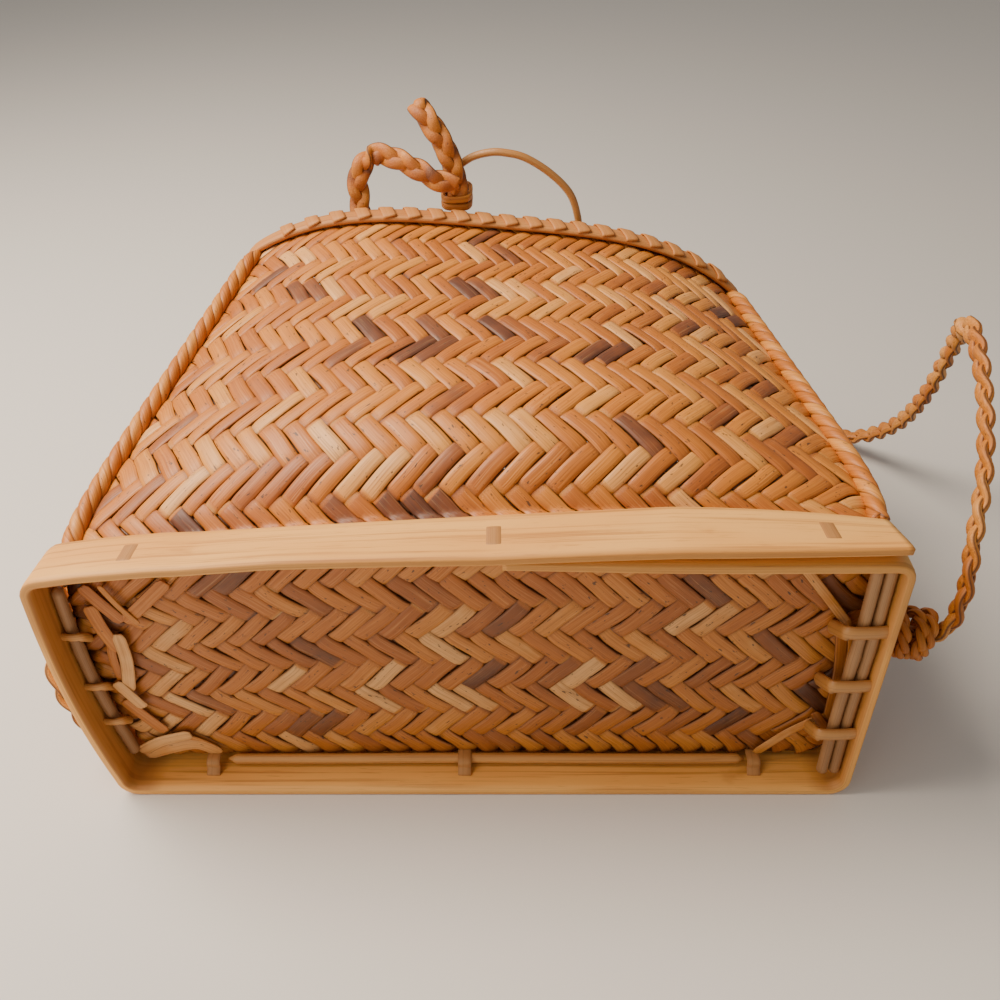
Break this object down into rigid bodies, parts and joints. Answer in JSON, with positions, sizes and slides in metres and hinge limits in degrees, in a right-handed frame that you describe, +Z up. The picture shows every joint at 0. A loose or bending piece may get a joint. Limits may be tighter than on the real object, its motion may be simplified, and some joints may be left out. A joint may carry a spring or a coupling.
{
  "type": "backpack basket",
  "caption": "Small rucksack basket of bias-woven split rattan with a bent wood foot ring, hooped rim, plaited shoulder straps and a looped tie, lying on its back panel.",
  "frame": {"origin": "middle of the foot ring's back strip, on the surface that the basket lies on", "axes": "+X to the right seen from the base, along the base's long side; +Y from the base towards the mouth; +Z up from the surface"},
  "size_m": [0.3692, 0.2261, 0.1801],
  "materials": {
    "weave": "honey-coloured split rattan, satin",
    "ring_wood": "pale split wood, smooth and dull",
    "cane": "round grey-tan cane, satin",
    "lashing": "flat brown cane, satin",
    "rib": "plaited rattan, satin",
    "plait": "plaited rattan, dull"
  },
  "bodies": {
    "root": {"woven_body": "weave", "foot_ring": "ring_wood", "left_cane": "cane", "right_cane_outer": "cane", "right_cane_inner": "cane", "back_cane": "cane", "front_lashings": "lashing", "back_lashings": "lashing", "left_lashings": "lashing", "right_lashings": "lashing", "left_edge_strand": "weave", "right_edge_strand": "weave", "front_left_rib": "rib", "front_right_rib": "rib", "back_left_rib": "rib", "back_right_rib": "rib", "rim_outer_hoop": "ring_wood", "rim_inner_hoop": "ring_wood", "rim_binding": "lashing", "right_strap": "plait", "left_strap": "plait", "right_strap_knot": "plait", "left_strap_knot": "plait", "tie_band": "plait", "tie_loop": "plait", "tie_knot": "plait", "tie_cane": "lashing"}
  },
  "joints": []
}
